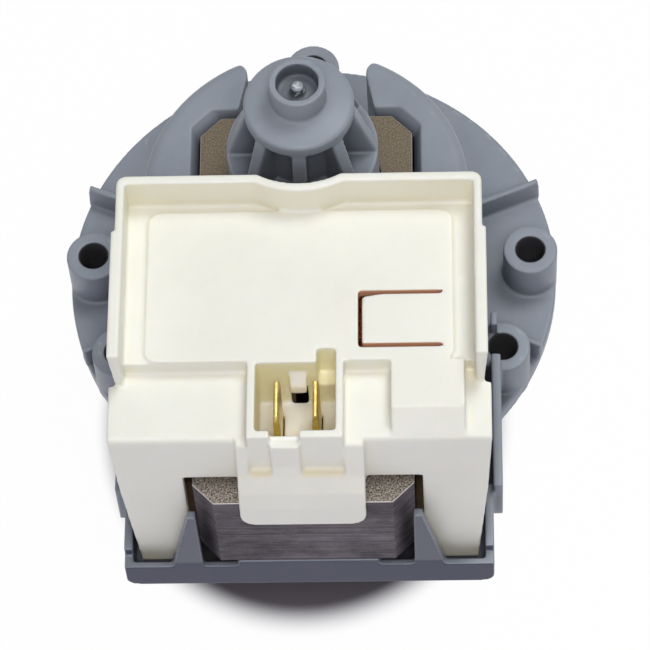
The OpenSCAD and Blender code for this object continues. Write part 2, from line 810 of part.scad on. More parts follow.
module terminal(side) {
    half = tab_w/2;
    color(brass) translate([tab_mid_x + side*tab_pitch/2, tab_mid_y, 0])
        along_x([[-half, tab_foot], [half, tab_foot], [half, tab_top - tab_bevel_h],
                 [half - tab_bevel, tab_top], [-half + tab_bevel, tab_top], [-half, tab_top - tab_bevel_h]],
                -tab_t/2, tab_t/2);
}

module left_terminal() {
    terminal(-1);
}

module right_terminal() {
    terminal(1);
}

module rear_bearing() {
    color(carbon_grey) ring(bearing_r, shaft_r + run_fit, rear_bearing_z, rear_bearing_top);
}

module rear_grommet() {
    color(rubber_black) ring(grommet_r, bearing_r + press_gap, rear_bearing_z + grommet_inset,
                             rear_bearing_top - grommet_inset);
}

module front_bearing() {
    color(carbon_grey) ring(bearing_r, shaft_r + run_fit, front_bearing_z, front_bearing_top);
}

module front_grommet() {
    color(rubber_black) ring(grommet_r, bearing_r + press_gap, front_bearing_z + grommet_inset,
                             front_bearing_top - grommet_inset);
}

module bearing_carrier() {
    color(hub_white) difference() {
        union() {
            cylinder(r = carrier_plug_r, h = front_bearing_top - grommet_inset);
            translate([0, 0, -carrier_flange_t]) cylinder(r = carrier_flange_r, h = carrier_flange_t);
            translate([0, 0, nose_z]) cylinder(r = nose_r, h = nose_h);
        }
        translate([0, 0, front_bearing_z]) cylinder(r = seat_r, h = far);
        translate([0, 0, nose_z - 1]) cylinder(r = seal_r, h = front_bearing_z - nose_z + 1);
        ring(far, carrier_plug_r - carrier_groove_depth, carrier_ring_z - carrier_groove_h/2,
             carrier_ring_z + carrier_groove_h/2);
    }
}

module carrier_o_ring() {
    color(rubber_black)
        cord_ring(chamber_r - carrier_ring_cord - ring_squeeze, carrier_ring_cord, carrier_ring_z);
}

module lip_seal() {
    color(rubber_black) difference() {
        ring(seal_r - seal_fit, shaft_r + seal_fit, nose_z + grommet_inset, front_bearing_z - press_gap);
        ring(seal_r - seal_fit - seal_lip_t, shaft_r + seal_lip_t, nose_z, front_bearing_z - seal_lip_t);
    }
}

module flange_o_ring() {
    mid_r = spigot_d/2 - groove_depth + ring_cord + ring_squeeze;
    color(rubber_black) cord_ring(mid_r, ring_cord - ring_squeeze, -spigot_h/2);
}

module shaft() {
    chamfer = 0.4;
    color(bright_steel) rotate_extrude() polygon([[0, shaft_low], [shaft_r - chamfer, shaft_low],
        [shaft_r, shaft_low + chamfer], [shaft_r, shaft_top - chamfer], [shaft_r - chamfer, shaft_top],
        [0, shaft_top]]);
}

module rotor_magnet() {
    color(magnet_grey) ring(magnet_r, shaft_r + hub_core_t + press_gap, magnet_z, magnet_z + magnet_l);
}

module rotor_hub() {
    color(hub_white) {
        ring(shaft_r + hub_core_t, shaft_r + press_gap, magnet_z - hub_end, magnet_z + magnet_l + hub_end);
        for (low = [magnet_z - hub_end, magnet_z + magnet_l])
            ring(magnet_r - hub_end_inset, shaft_r + press_gap, low, low + hub_end);
    }
}

module rear_washer() {
    color(bright_steel) ring(washer_r, shaft_r + press_gap, rear_washer_z, rear_washer_z + washer_t);
}

module front_washer() {
    color(bright_steel) ring(washer_r, shaft_r + press_gap, front_washer_z, front_washer_z + washer_t);
}

module drive_dog() {
    color(hub_white) {
        ring(dog_hub_r, shaft_r + press_gap, dog_low, dog_top);
        ring_sector(cup_r - lug_room, shaft_r + press_gap, dog_low, dog_top,
                    90 - lug_angle/2, 90 + lug_angle/2);
    }
}

module impeller() {
    color(hub_white) {
        difference() {
            union() {
                ring(impeller_r, cup_r, impeller_top - disc_t, impeller_top);
                translate([0, 0, impeller_low]) cylinder(r = hub_r, h = impeller_h);
                for (i = [0:blade_count - 1]) rotate([0, 0, 360*(i + 0.5)/blade_count])
                    span([cup_r, -blade_t/2, impeller_low],
                         [impeller_r, blade_t/2, impeller_top - disc_t + lap]);
            }
            translate([0, 0, cup_floor]) cylinder(r = cup_r, h = far);
            translate([0, 0, cup_floor - tip_socket]) cylinder(r = shaft_r + run_fit, h = far);
        }
        ring_sector(cup_r + lap, stop_in_r, cup_floor - lap, dog_top, 270 - lug_angle/2, 270 + lug_angle/2);
    }
}

module impeller_cap() {
    color(hub_white) ring(cup_r - cap_fit, shaft_r + run_fit, impeller_top - disc_t, impeller_top);
}

module stop_bumper() {
    half = lug_angle/2;
    color(rubber_black) for (side = [-1, 1])
        ring_sector(cup_r - bumper_t, stop_in_r, cup_floor + bumper_t, dog_top,
                    270 + side*half + min(0, side*bumper_angle) + side*0.3,
                    270 + side*half + max(0, side*bumper_angle) + side*0.3);
}

pump_body();
stator_core();
left_bobbin();
right_bobbin();
left_winding();
right_winding();
coil_cover();
left_terminal();
right_terminal();
rear_bearing();
rear_grommet();
front_bearing();
front_grommet();
bearing_carrier();
carrier_o_ring();
lip_seal();
flange_o_ring();
shaft();
rotor_magnet();
rotor_hub();
rear_washer();
front_washer();
drive_dog();
impeller();
impeller_cap();
stop_bumper();
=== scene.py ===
import math
import random

import bmesh
import bpy
from mathutils import Matrix, Vector, noise


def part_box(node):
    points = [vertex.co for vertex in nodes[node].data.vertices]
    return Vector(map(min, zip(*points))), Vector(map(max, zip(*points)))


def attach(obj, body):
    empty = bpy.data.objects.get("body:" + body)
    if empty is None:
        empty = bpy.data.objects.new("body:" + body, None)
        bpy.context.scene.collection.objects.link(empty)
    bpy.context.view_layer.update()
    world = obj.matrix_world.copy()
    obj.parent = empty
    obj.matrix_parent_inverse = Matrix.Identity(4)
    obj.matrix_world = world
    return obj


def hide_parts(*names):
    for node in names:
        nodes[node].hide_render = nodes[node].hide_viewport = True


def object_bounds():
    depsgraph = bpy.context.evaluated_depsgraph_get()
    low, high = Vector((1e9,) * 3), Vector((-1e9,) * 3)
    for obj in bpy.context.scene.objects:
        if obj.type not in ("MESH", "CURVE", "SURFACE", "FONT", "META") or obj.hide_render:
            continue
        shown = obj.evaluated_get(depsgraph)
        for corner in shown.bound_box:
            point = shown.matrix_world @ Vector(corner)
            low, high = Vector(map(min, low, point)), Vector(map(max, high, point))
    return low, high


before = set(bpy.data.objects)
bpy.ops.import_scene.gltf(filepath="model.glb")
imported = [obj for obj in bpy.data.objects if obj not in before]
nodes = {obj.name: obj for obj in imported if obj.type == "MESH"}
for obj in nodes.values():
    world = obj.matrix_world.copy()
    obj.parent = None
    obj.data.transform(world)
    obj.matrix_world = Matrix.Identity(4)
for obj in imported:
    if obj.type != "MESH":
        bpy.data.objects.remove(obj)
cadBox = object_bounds()
mm = 0.001
random.seed(11)


# a value in a material's node tree: plain Python maths on it adds Math nodes
class Wire:
    def __init__(self, finish, socket):
        self.finish = finish
        self.socket = socket

    def maths(self, operation, first, second):
        return self.finish.node("ShaderNodeMath", {"operation": operation}, [first, second])

    def __add__(self, other):
        return self.maths("ADD", self, other)

    def __radd__(self, other):
        return self.maths("ADD", other, self)

    def __sub__(self, other):
        return self.maths("SUBTRACT", self, other)

    def __rsub__(self, other):
        return self.maths("SUBTRACT", other, self)

    def __mul__(self, other):
        return self.maths("MULTIPLY", self, other)

    def __rmul__(self, other):
        return self.maths("MULTIPLY", other, self)

    def __pow__(self, other):
        return self.maths("POWER", self, other)

    def __abs__(self):
        return self.finish.node("ShaderNodeMath", {"operation": "ABSOLUTE"}, [self])

    def larger(self, other):
        return self.maths("MAXIMUM", self, other)


class Finish:
    def __init__(self, name, world=False):
        owner = bpy.data.worlds.new(name) if world else bpy.data.materials.new(name)
        owner.use_nodes = True
        self.owner = owner
        self.tree = owner.node_tree
        self.place = None

    def node(self, kind, settings, sockets, out=0):
        made = self.tree.nodes.new(kind)
        for key, value in settings.items():
            if key == "stops":
                self.setStops(made.color_ramp, value)
            else:
                setattr(made, key, value)
        pairs = sockets.items() if isinstance(sockets, dict) else enumerate(sockets)
        for key, value in pairs:
            self.plug(made.inputs[key], value)
        return Wire(self, made.outputs[out])

    def plug(self, socket, value):
        if isinstance(value, Wire):
            self.tree.links.new(value.socket, socket)
        else:
            socket.default_value = value

    def setStops(self, ramp, stops):
        while len(ramp.elements) < len(stops):
            ramp.elements.new(0.5)
        for element, (position, grey) in zip(ramp.elements, stops):
            element.position = position
            element.color = (grey, grey, grey, 1)

    def coords(self):
        if self.place is None:
            self.place = self.node("ShaderNodeTexCoord", {}, {}, "Object")
        return self.place

    def stretch(self, scale):
        return self.node("ShaderNodeMapping", {}, {"Vector": self.coords(), "Scale": scale})

    def grain(self, size, detail=2.0, rough=0.5, vector=None):
        # soft noise whose blobs are about size millimetres across
        where = self.coords() if vector is None else vector
        return self.node("ShaderNodeTexNoise", {}, {"Vector": where, "Scale": 1 / (size * mm),
                                                    "Detail": detail, "Roughness": rough}, "Fac")

    def ramp(self, value, stops):
        return self.node("ShaderNodeValToRGB", {"stops": stops}, [value])

    def blend(self, amount, first, second):
        return self.node("ShaderNodeMix", {"data_type": "RGBA"}, {0: amount, 6: first, 7: second}, 2)

    def bump(self, height, depth):
        return self.node("ShaderNodeBump", {}, {"Height": height, "Distance": depth * mm}, "Normal")

    def edges(self, low, high):
        # 1 on convex edges, 0 on flats
        bend = self.node("ShaderNodeNewGeometry", {}, {}, "Pointiness")
        return self.ramp(bend, [(low, 0.0), (high, 1.0)])

    def corners(self, reach):
        # painted shade: 1 deep in corners and pockets, 0 on open faces
        closed, free = 0.25, 0.85
        openness = self.node("ShaderNodeAmbientOcclusion", {"samples": 8}, {"Distance": reach * mm}, "AO")
        return self.ramp(openness, [(closed, 1.0), (free, 0.0)])

    def vector(self, operation, first, second, out="Vector"):
        return self.node("ShaderNodeVectorMath", {"operation": operation}, [first, second], out)

    def axis(self, vector, name):
        return self.node("ShaderNodeSeparateXYZ", {}, [vector], name)

    def facing(self):
        return self.node("ShaderNodeNewGeometry", {}, {}, "Normal")

    def levelness(self):
        # 1 on level faces, 0 on upright ones
        return abs(self.axis(self.facing(), "Z"))

    def nearAxis(self, middle, inner, outer):
        # 1 within a radius in millimetres round an upright line, fading to 0
        flat = self.vector("MULTIPLY", self.coords(), (1, 1, 0))
        away = self.vector("DISTANCE", flat, (middle[0] * mm, middle[1] * mm, 0), "Value")
        return self.node("ShaderNodeMapRange", {"interpolation_type": "SMOOTHSTEP"},
                         {"Value": away, "From Min": inner * mm, "From Max": outer * mm,
                          "To Min": 1.0, "To Max": 0.0})

    def within(self, low, high, fade):
        # 1 inside a box in millimetres, fading to 0 over the given margin
        inside = None
        for name, a, b in zip("XYZ", low, high):
            place = self.axis(self.coords(), name)
            half, mid = (b - a) / 2, (a + b) / 2
            away = abs(place - mid * mm)
            part = self.node("ShaderNodeMapRange", {}, {"Value": away, "From Min": (half - fade) * mm,
                                                       "From Max": half * mm, "To Min": 1.0, "To Max": 0.0})
            inside = part if inside is None else inside * part
        return inside

    def tint(self, colour, area, mask=None):
        # the colour moved towards a zone's own, inside the zone's box
        amount = self.within(area["low"], area["high"], area["fade"])
        if mask is not None:
            amount = amount * mask
        return self.blend(amount * area["share"], colour, area["colour"])

    def island(self):
        return self.node("ShaderNodeNewGeometry", {}, {}, "Random Per Island")

    def feed(self, values):
        shader = self.tree.nodes["Principled BSDF"]
        for name, value in values.items():
            self.plug(shader.inputs[name], value)
        return self.owner


def rgb(red, green, blue):
    return (red, green, blue, 1.0)


def zone(low, high, fade, share, colour):
    # a box in millimetres with a soft margin, and how far a colour covers it
    return {"low": low, "high": high, "fade": fade, "share": share, "colour": colour}


mouldForm = {"cloudNoise": (4.0, 0.6), "cloudStops": [(0.3, 0.0), (0.7, 1.0)],
             "speckDetail": 1.0, "speckStops": [(0.66, 0.0), (0.74, 1.0)], "skinNoise": (3.0, 0.65),
             "cloudRough": 0.06, "skinRough": 0.10, "wornRough": 0.06,
             "bending": 1.5, "glowRadius": (1.0, 0.80, 0.42)}


def moulding(name, look, tints=None):
    # moulded plastic: cloudy colour, eroded skin, paler edges (part wear, part painted highlight), painted
    # shade in corners, tints by place
    f = Finish(name)
    form = mouldForm
    cloud = f.ramp(f.grain(look["cloud"], *form["cloudNoise"]), form["cloudStops"])
    colour = f.blend(cloud, look["dark"], look["light"])
    specks = f.ramp(f.grain(look["speck"], form["speckDetail"]), form["speckStops"])
    colour = f.blend(specks * look["speckShare"], colour, look["speckColour"])
    edgeTone = f.edges(look["edgeFrom"], look["edgeTo"])
    # paler edges on the grey body and the cover: part wear, part painted highlight
    colour = f.blend(edgeTone * look["edgeShare"], colour, look["edgeColour"])
    if "grime" in look:
        # painted shade: corners and pockets darkened where occlusion is deep
        colour = f.blend(f.corners(look["grimeReach"]) * look["grimeShare"], colour, look["grime"])
    skin = f.grain(look["skin"], *form["skinNoise"])
    rough = look["rough"] + (cloud - 0.5) * form["cloudRough"] + (skin - 0.5) * form["skinRough"]
    rough = rough - edgeTone * form["wornRough"]
    if tints:
        colour, dull = tints(f, colour)
        rough = rough + dull
    return f.feed({"Base Color": colour, "Roughness": rough, "Normal": f.bump(skin, look["skinDepth"]),
                   "IOR": form["bending"], "Specular IOR Level": look["shine"],
                   "Subsurface Weight": look["glow"], "Subsurface Radius": form["glowRadius"],
                   "Subsurface Scale": look["glowDepth"] * mm})


def sheetSteel(name, look):
    # rolled sheet: brown skin that sparkles on the yoke, dull violet cut edges that differ by sheet, a
    # painted highlight along the top sheet's edge
    f = Finish(name)
    sheet = f.island()
    level = f.levelness()
    skinShare = f.ramp(level, look["skinStops"])
    # painted highlight: the top sheet's bevelled edge painted bright, as if catching the light
    topEdge = f.within(*look["burrHighlightBox"])
    burrHighlightShare = (f.ramp(level, look["burrHighlightStops"]) - skinShare) * topEdge
    yoke = f.within(*look["yokeBox"])
    crystals = f.grain(look["crystal"], *look["crystalNoise"])
    grain = f.ramp(crystals, look["grainStops"])
    sparkle = f.ramp(crystals, look["sparkStops"]) * yoke
    stain = f.ramp(f.grain(look["stain"], *look["stainNoise"]), look["stainStops"])
    skin = f.blend(grain, look["skinDark"], look["skinLight"])
    skin = f.blend(sparkle * look["sparkShare"], skin, look["spark"])
    along = f.stretch(look["along"])
    streak = f.ramp(f.grain(look["streak"], *look["streakNoise"], along), look["streakStops"])
    edge = f.blend(stain, look["edgeDark"], look["edgeLight"])
    edge = f.blend(sheet * look["sheetShare"], edge, look["edgeDeep"])
    edge = f.blend(streak * look["streakShare"], edge, look["edgeLight"])
    colour = f.blend(skinShare, edge, skin)
    colour = f.blend(burrHighlightShare * look["burrHighlightShare"], colour, look["burrHighlight"])
    rough = look["rough"] + (sheet - 0.5) * look["sheetRough"] - sparkle * look["sparkRough"]
    grit = f.grain(look["grit"], *look["gritNoise"])
    return f.feed({"Base Color": colour, "Roughness": rough, "Metallic": look["metal"],
                   "Normal": f.bump(grit, look["gritDepth"])})


metalForm = {"streakNoise": (2.0, 0.6), "hazeDetail": 3.0, "hazeStops": [(0.3, 0.0), (0.75, 1.0)],
             "streakRough": 0.16, "hazeRough": 0.06}


def drawnMetal(name, look):
    # drawn or ground metal: fine streaks along one direction and faint handling marks
    f = Finish(name)
    form = metalForm
    streak = f.grain(look["streak"], *form["streakNoise"], f.stretch(look["along"]))
    haze = f.ramp(f.grain(look["haze"], form["hazeDetail"]), form["hazeStops"])
    colour = f.blend(haze, look["dark"], look["light"])
    rough = look["rough"] + (streak - 0.5) * form["streakRough"] + haze * form["hazeRough"]
    return f.feed({"Base Color": colour, "Roughness": rough, "Metallic": 1.0,
                   "Normal": f.bump(streak, look["depth"])})


rubberForm = {"bloomNoise": (4.0, 0.6), "bloomStops": [(0.4, 0.0), (0.75, 1.0)], "skinNoise": (2.0, 0.6),
              "bloomRough": 0.1}


def rubber(name, look):
    # rubber, sintered carbon and ferrite: a dark body with a faint bloom
    f = Finish(name)
    form = rubberForm
    bloom = f.ramp(f.grain(look["bloom"], *form["bloomNoise"]), form["bloomStops"])
    colour = f.blend(bloom, look["dark"], look["light"])
    skin = f.grain(look["skin"], *form["skinNoise"])
    return f.feed({"Base Color": colour, "Roughness": look["rough"] + (bloom - 0.5) * form["bloomRough"],
                   "Normal": f.bump(skin, look["depth"])})


bodyTint = {"holeCircle": 30.7, "holeAngles": (0, 90, 180, 210, 330), "holeInner": 2.05, "holeOuter": 2.25,
            "holeShade": rgb(0.034, 0.031, 0.033), "holeShadeShare": 0.9, "holeDull": 0.6,
            "frontStops": [(0.6, 0.0), (0.95, 1.0)],
            "hooks": zone((-40, -60, 8.8), (40, -45.5, 26), 1.0, 0.72, rgb(0.045, 0.047, 0.075)),
            "bar": zone((-40, -60, -2), (40, -45.5, 10.2), 0.6, 0.95, rgb(0.028, 0.031, 0.070)),
            "tray": zone((-15.2, -47.4, 3.4), (15.2, -36.0, 8.9), 0.3, 0.9, rgb(0.028, 0.026, 0.028)),
            "leftGap": zone((-19.0, -42.0, 3.8), (-13.9, -28.0, 4.8), 0.4, 0.9, rgb(0.60, 0.40, 0.25)),
            "rightGap": zone((13.9, -42.0, 3.8), (19.0, -28.0, 4.8), 0.4, 0.9, rgb(0.60, 0.40, 0.25))}


def bodyTints(f, colour):
    # painted shade in the screw holes, on the front faces of the bar and its hooks and on the tray; brown
    # strips beside the yoke
    form = bodyTint
    holeShade = None
    for angle in form["holeAngles"]:
        turn = math.radians(angle)
        middle = (form["holeCircle"] * math.cos(turn), form["holeCircle"] * math.sin(turn))
        hole = f.nearAxis(middle, form["holeInner"], form["holeOuter"])
        holeShade = hole if holeShade is None else holeShade.larger(hole)
    # painted shade: the screw holes darkened inside
    colour = f.blend(holeShade * form["holeShadeShare"], colour, form["holeShade"])
    front = f.ramp(f.axis(f.facing(), "Y") * -1.0, form["frontStops"])
    # painted shade: the front faces of the bar and its hooks darker
    for name in ("hooks", "bar"):
        colour = f.tint(colour, form[name], front)
    # painted shade: the tray beside the yoke darker; the two gaps get brown strips
    for name in ("tray", "leftGap", "rightGap"):
        colour = f.tint(colour, form[name])
    return colour, holeShade * form["holeDull"]


socketLow, socketHigh, socketFade = (-6.6, -45.4, 30.0), (5.6, -32.0, 42.0), 0.35
coverTint = {"standingStops": [(0.15, 1.0), (0.45, 0.0)], "levelStops": [(0.5, 0.0), (0.9, 1.0)],
             "slitDull": 0.2,
             "slit": zone((7.3, -33.0, 39.0), (18.8, -24.2, 42.1), 0.12, 0.9, rgb(0.64, 0.34, 0.20)),
             "rim": zone((-23.0, -15.5, 41.3), (22.8, -10.5, 47.2), 0.4, 0.5, rgb(0.86, 0.81, 0.62)),
             "socketFloorLight": zone(socketLow, socketHigh, socketFade, 0.9, rgb(1.0, 0.985, 0.94)),
             "keyLow": (2.0, -35.3, 30.0), "keyHigh": (5.2, -32.3, 41.5), "keyFade": 0.3,
             "socketWallLight": rgb(1.0, 0.95, 0.68), "wallLightShare": 0.95,
             "latch": zone((-1.45, -36.7, 36.3), (0.95, -34.7, 40.0), 0.1, 0.95, rgb(1.0, 1.0, 0.98)),
             "ledgeShade": zone((-7.6, -47.6, 32.9), (6.0, -45.0, 34.3), 0.3, 0.7, rgb(0.72, 0.64, 0.46))}


def coverTints(f, colour):
    # copper light painted on the slit's walls, painted shade in yellow on the rim and ledge, and painted
    # light on the pale inside of the connector and its latch
    form = coverTint
    level = f.levelness()
    standing = f.ramp(level, form["standingStops"])
    # painted light: copper colour on the slit's walls
    colour = f.tint(colour, form["slit"])
    # painted shade: the rim's standing walls yellower
    colour = f.tint(colour, form["rim"], standing)
    # painted light: the connector's floor paler
    colour = f.tint(colour, form["socketFloorLight"], 1.0 - standing)
    # painted light: the connector's and key's walls yellow-white
    wallLight = f.within(socketLow, socketHigh, socketFade) * standing
    wallLight = wallLight.larger(f.within(form["keyLow"], form["keyHigh"], form["keyFade"]))
    colour = f.blend(wallLight * form["wallLightShare"], colour, form["socketWallLight"])
    # painted light: the latch paler
    colour = f.tint(colour, form["latch"])
    # painted shade: the ledge yellower
    colour = f.tint(colour, form["ledgeShade"], f.ramp(level, form["levelStops"]))
    slit = form["slit"]
    return colour, f.within(slit["low"], slit["high"], slit["fade"]) * form["slitDull"]


# the corner colours below, with their reach and share, are painted shade in corners and pockets
bodyLook = {"dark": rgb(0.240, 0.264, 0.310), "light": rgb(0.290, 0.315, 0.362), "cloud": 9.0,
            "speck": 0.35, "speckShare": 0.25, "speckColour": rgb(0.30, 0.33, 0.37),
            "edgeFrom": 0.54, "edgeTo": 0.64, "edgeShare": 0.3, "edgeColour": rgb(0.40, 0.45, 0.475),
            "skin": 0.22, "skinDepth": 0.012, "rough": 0.38, "shine": 0.22, "glow": 0.0, "glowDepth": 0.5,
            "grime": rgb(0.060, 0.065, 0.080), "grimeReach": 7.5, "grimeShare": 0.8}
coverLook = {"dark": rgb(0.815, 0.805, 0.735), "light": rgb(0.86, 0.855, 0.79), "cloud": 14.0,
             "speck": 0.30, "speckShare": 0.15, "speckColour": rgb(0.70, 0.66, 0.55),
             "edgeFrom": 0.53, "edgeTo": 0.62, "edgeShare": 0.35, "edgeColour": rgb(0.90, 0.89, 0.84),
             "skin": 0.25, "skinDepth": 0.010, "rough": 0.45, "shine": 0.45, "glow": 0.25, "glowDepth": 1.5,
             "grime": rgb(0.80, 0.71, 0.47), "grimeReach": 2.5, "grimeShare": 0.42}
whiteLook = {"dark": rgb(0.66, 0.66, 0.62), "light": rgb(0.74, 0.74, 0.70), "cloud": 7.0,
             "speck": 0.30, "speckShare": 0.12, "speckColour": rgb(0.60, 0.58, 0.52),
             "edgeFrom": 0.53, "edgeTo": 0.62, "edgeShare": 0.3, "edgeColour": rgb(0.82, 0.82, 0.79),
             "skin": 0.22, "skinDepth": 0.010, "rough": 0.40, "shine": 0.5, "glow": 0.1, "glowDepth": 1.0,
             "grime": rgb(0.42, 0.40, 0.34), "grimeReach": 2.5, "grimeShare": 0.4}
bobbinLook = {"dark": rgb(0.300, 0.205, 0.120), "light": rgb(0.370, 0.260, 0.160), "cloud": 6.0,
              "speck": 0.25, "speckShare": 0.2, "speckColour": rgb(0.09, 0.085, 0.08),
              "edgeFrom": 0.53, "edgeTo": 0.62, "edgeShare": 0.3, "edgeColour": rgb(0.10, 0.10, 0.10),
              "skin": 0.2, "skinDepth": 0.010, "rough": 0.45, "shine": 0.5, "glow": 0.0, "glowDepth": 0.5}
nubLook = {"dark": rgb(0.30, 0.33, 0.37), "light": rgb(0.58, 0.61, 0.64), "cloud": 0.6,
           "speck": 0.12, "speckShare": 0.5, "speckColour": rgb(0.80, 0.82, 0.84),
           "edgeFrom": 0.52, "edgeTo": 0.60, "edgeShare": 0.6, "edgeColour": rgb(0.80, 0.82, 0.84),
           "skin": 0.15, "skinDepth": 0.03, "rough": 0.35, "shine": 0.5, "glow": 0.0, "glowDepth": 0.5}
steelLook = {"skinDark": rgb(0.056, 0.044, 0.030), "skinLight": rgb(0.186, 0.152, 0.108),
             "spark": rgb(0.78, 0.72, 0.67), "sparkShare": 0.66,
             "edgeDark": rgb(0.036, 0.030, 0.039), "edgeLight": rgb(0.136, 0.116, 0.138),
             "edgeDeep": rgb(0.034, 0.029, 0.036), "burrHighlight": rgb(0.62, 0.60, 0.58),
             "burrHighlightBox": ((-20, -60, 27.2), (20, 20, 30), 0.05),
             "yokeBox": ((-20, -60, 0), (20, -34, 40), 3.0),
             "skinStops": [(0.80, 0.0), (0.95, 1.0)], "burrHighlightStops": [(0.25, 0.0), (0.5, 1.0)],
             "crystal": 0.26, "crystalNoise": (3.0, 0.8), "grainStops": [(0.30, 0.0), (0.70, 1.0)],
             "sparkStops": [(0.42, 0.0), (0.64, 1.0)],
             "stain": 5.0, "stainNoise": (5.0, 0.6), "stainStops": [(0.35, 0.0), (0.7, 1.0)],
             "streak": 0.8, "streakNoise": (3.0, 0.6), "along": (0.25, 0.25, 1),
             "streakStops": [(0.45, 0.0), (0.75, 1.0)], "streakShare": 0.5,
             "sheetShare": 0.6, "burrHighlightShare": 0.9, "rough": 0.52, "sheetRough": 0.12, "sparkRough": 0.15,
             "metal": 0.75, "grit": 0.208, "gritNoise": (2.0, 0.7), "gritDepth": 0.015}
brassLook = {"dark": rgb(0.56, 0.41, 0.11), "light": rgb(0.80, 0.65, 0.27), "streak": 0.30,
             "along": (1, 1, 0.4), "haze": 0.5, "rough": 0.30, "depth": 0.02}
groundLook = {"dark": rgb(0.52, 0.53, 0.55), "light": rgb(0.68, 0.69, 0.70), "streak": 0.2,
              "along": (0.15, 0.15, 1), "haze": 3.0, "rough": 0.22, "depth": 0.003}
copperLook = {"dark": rgb(0.42, 0.14, 0.045), "light": rgb(0.70, 0.30, 0.12), "streak": 0.3,
              "along": (1, 1, 0.2), "haze": 2.2, "rough": 0.28, "depth": 0.003}
rubberLook = {"dark": rgb(0.022, 0.022, 0.024), "light": rgb(0.045, 0.045, 0.047), "bloom": 3.0,
              "skin": 0.2, "rough": 0.55, "depth": 0.012}
carbonLook = {"dark": rgb(0.055, 0.055, 0.060), "light": rgb(0.10, 0.10, 0.105), "bloom": 1.2,
              "skin": 0.12, "rough": 0.5, "depth": 0.015}
ferriteLook = {"dark": rgb(0.075, 0.075, 0.080), "light": rgb(0.13, 0.13, 0.135), "bloom": 2.0,
               "skin": 0.18, "rough": 0.55, "depth": 0.02}

bodyGrey = moulding("bodyGrey", bodyLook, bodyTints)
coverIvory = moulding("coverIvory", coverLook, coverTints)
bobbinDark = moulding("bobbinDark", bobbinLook)
mouldedWhite = moulding("mouldedWhite", whiteLook)
tornNub = moulding("tornNub", nubLook)
laminationSteel = sheetSteel("laminationSteel", steelLook)
tabBrass = drawnMetal("tabBrass", brassLook)
groundSteel = drawnMetal("groundSteel", groundLook)
copperWire = drawnMetal("copperWire", copperLook)
blackRubber = rubber("blackRubber", rubberLook)
bearingCarbon = rubber("bearingCarbon", carbonLook)
magnetFerrite = rubber("magnetFerrite", ferriteLook)
print("finishes made:", len(bpy.data.materials))


def dress(piece, material):
    piece.data.materials.clear()
    piece.data.materials.append(material)


def newPiece(name, mesh, material, replaced, body="pump"):
    piece = bpy.data.objects.new(name, mesh)
    bpy.context.scene.collection.objects.link(piece)
    dress(piece, material)
    for face in mesh.polygons:
        face.use_smooth = True
    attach(piece, body)
    if replaced:
        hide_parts(replaced)
    return piece


def settled(piece):
    # the mesh of a piece with its modifiers worked in
    graph = bpy.context.evaluated_depsgraph_get()
    return bpy.data.meshes.new_from_object(piece.evaluated_get(graph))


def mouldedCopy(node, form):
    # a copy of a solid whose edges and corners are rounded as in a mould
    draft = bpy.data.objects.new("draft", nodes[node].data.copy())
    bpy.context.scene.collection.objects.link(draft)
    grid = draft.modifiers.new("grid", "REMESH")
    grid.mode = "VOXEL"
    grid.voxel_size = form["voxel"] * mm
    ease = draft.modifiers.new("ease", "SMOOTH")
    ease.factor = form["pull"]
    ease.iterations = form["passes"]
    thin = draft.modifiers.new("thin", "DECIMATE")
    thin.ratio = form["keep"]
    mesh = settled(draft)
    bpy.data.objects.remove(draft)
    return mesh


bodyForm = {"voxel": 0.20, "pull": 0.5, "passes": 6, "keep": 0.24}
coverForm = {"voxel": 0.20, "pull": 0.5, "passes": 11, "keep": 0.20}
wheelForm = {"voxel": 0.26, "pull": 0.5, "passes": 5, "keep": 0.22}

newPiece("bodyMoulding", mouldedCopy("pump_body", bodyForm), bodyGrey, "pump_body")
cover = newPiece("coverMoulding", mouldedCopy("coil_cover", coverForm), coverIvory,
                 "coil_cover")
newPiece("impellerMoulding", mouldedCopy("impeller", wheelForm), mouldedWhite, "impeller",
         "wheel")
print("mouldings made")

# the slit round the spring tongue, cut after the edges are eased so that its lips stay crisp
slitForm = {"left": 7.6, "right": 18.5, "front": -32.7, "rear": -24.5, "low": 39.6, "high": 43.2,
            "side": 0.40, "legThin": 0.27, "corner": 0.45, "cornerCut": 0.3,
            "swell": ((0.0, 1.3), (0.5, 0.95), (2.2, 0.64), (4.4, 0.38))}


def slitCutter(form):
    # a closed C with eased corners: its rear leg swells to the left, where the tongue has lifted
    left, right, front, rear = form["left"], form["right"], form["front"], form["rear"]
    inner, thin, corner = left + form["side"], form["legThin"], form["corner"]
    cut = form["cornerCut"] * corner
    outline = [(right, rear), (left + corner, rear), (left + cut, rear - cut),
               (left, rear - corner), (left, front + corner), (left + cut, front + cut),
               (left + corner, front), (right, front), (right, front + thin),
               (inner + corner, front + thin), (inner, front + thin + corner)]
    outline += [(inner + along, rear - wide) for along, wide in form["swell"]]
    outline.append((right, rear - thin))
    shape = bmesh.new()
    low = [shape.verts.new((x * mm, y * mm, form["low"] * mm)) for x, y in outline]
    high = [shape.verts.new((x * mm, y * mm, form["high"] * mm)) for x, y in outline]
    shape.faces.new(list(reversed(low)))
    shape.faces.new(high)
    for i in range(len(outline)):
        j = (i + 1) % len(outline)
        shape.faces.new((low[i], low[j], high[j], high[i]))
    bmesh.ops.recalc_face_normals(shape, faces=shape.faces)
    mesh = bpy.data.meshes.new("slitCutter")
    shape.to_mesh(mesh)
    shape.free()
    return bpy.data.objects.new("slitCutter", mesh)


